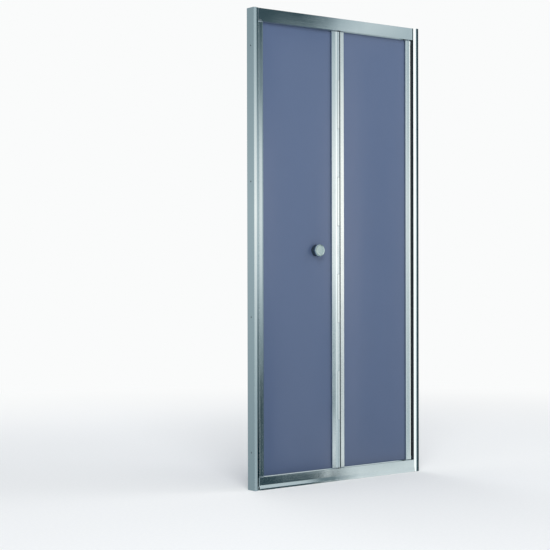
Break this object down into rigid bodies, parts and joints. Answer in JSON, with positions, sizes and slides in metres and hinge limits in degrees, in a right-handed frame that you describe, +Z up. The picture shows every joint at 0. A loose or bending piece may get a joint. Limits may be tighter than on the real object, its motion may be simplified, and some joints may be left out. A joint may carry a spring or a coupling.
{
  "type": "shower door",
  "caption": "Framed bi-fold shower door for a niche: wall profiles, head rail, sill, a pivoting leaf and a leading leaf of tinted glass that fold inward, and a knob.",
  "frame": {"origin": "middle of the sill's underside, across the doorway and halfway through the 46 mm frame", "axes": "+X to the right as seen from outside, towards the pivots; +Y into the shower; +Z up"},
  "size_m": [0.86, 0.055, 1.85],
  "materials": {
    "clear_seal": "milky, soft",
    "dark_rubber": "matt, black",
    "glass": "bluish grey, smooth, hardly see-through",
    "knob": "polished",
    "light_plastic": "light grey, moulded",
    "profile": "bright silver, polished",
    "steel": "bright"
  },
  "bodies": {
    "frame": {"wall_profile_left": "profile", "wall_profile_right": "profile", "jamb_left": "profile", "jamb_right": "profile", "head_rail": "profile", "head_track": "profile", "sill": "profile", "sill_track": "profile", "jamb_top_plugs": "light_plastic", "frame_screws": "steel", "jamb_screws": "steel", "screw_caps": "light_plastic", "top_pivot_block": "light_plastic", "bottom_pivot_block": "light_plastic", "pivot_bushes": "steel", "pivot_block_screws": "steel", "jamb_magnet_strip": "dark_rubber", "jamb_seal": "dark_rubber"},
    "pivot_leaf": {"pivot_stile": "profile", "pivot_leaf_hinge_stile": "profile", "pivot_leaf_top_rail": "profile", "pivot_leaf_bottom_rail": "profile", "pivot_leaf_glass": "glass", "pivot_leaf_gaskets": "dark_rubber", "pivot_leaf_corner_keys": "light_plastic", "pivot_leaf_key_screws": "steel", "top_pivot_pin": "steel", "bottom_pivot_pin": "steel", "height_nut": "steel", "pivot_leaf_drip_seal": "clear_seal", "fold_wiper": "dark_rubber"},
    "leading_leaf": {"closing_stile": "profile", "leading_leaf_hinge_stile": "profile", "leading_leaf_top_rail": "profile", "leading_leaf_bottom_rail": "profile", "leading_leaf_glass": "glass", "leading_leaf_gaskets": "dark_rubber", "leading_leaf_corner_keys": "light_plastic", "leading_leaf_key_screws": "steel", "top_guide_pin": "steel", "bottom_guide_pin": "steel", "leaf_magnet_strip": "dark_rubber", "leading_leaf_drip_seal": "clear_seal", "fold_seal": "dark_rubber", "fold_pin": "steel", "fold_washers": "light_plastic", "knob_outer": "knob", "knob_inner": "knob", "knob_stud": "steel", "knob_sleeve": "light_plastic", "knob_washers": "dark_rubber"},
    "top_guide": {"top_guide_shoe": "light_plastic"},
    "bottom_guide": {"bottom_guide_shoe": "light_plastic"}
  },
  "joints": [
    {"name": "pivot_leaf_hinge", "type": "hinge", "parent": "frame", "child": "pivot_leaf", "pos_m": [0.391, 0.004, 0.036], "axis": [0, 0, -1], "range_deg": [0, 85]},
    {"name": "fold_hinge", "type": "hinge", "parent": "pivot_leaf", "child": "leading_leaf", "pos_m": [0, -0.0115, 0.925], "axis": [0, 0, -1], "range_deg": [-170, 0]},
    {"name": "top_guide_swivel", "type": "hinge", "parent": "leading_leaf", "child": "top_guide", "pos_m": [-0.391, 0.004, 1.8404], "axis": [0, 0, -1], "range_deg": [0, 85]},
    {"name": "bottom_guide_swivel", "type": "hinge", "parent": "leading_leaf", "child": "bottom_guide", "pos_m": [-0.391, 0.004, 0.0179], "axis": [0, 0, -1], "range_deg": [0, 85]}
  ],
  "couplings": [
    {"joint": "fold_hinge", "follows": "pivot_leaf_hinge", "ratio": -2},
    {"joint": "top_guide_swivel", "follows": "pivot_leaf_hinge", "ratio": 1},
    {"joint": "bottom_guide_swivel", "follows": "pivot_leaf_hinge", "ratio": 1}
  ]
}
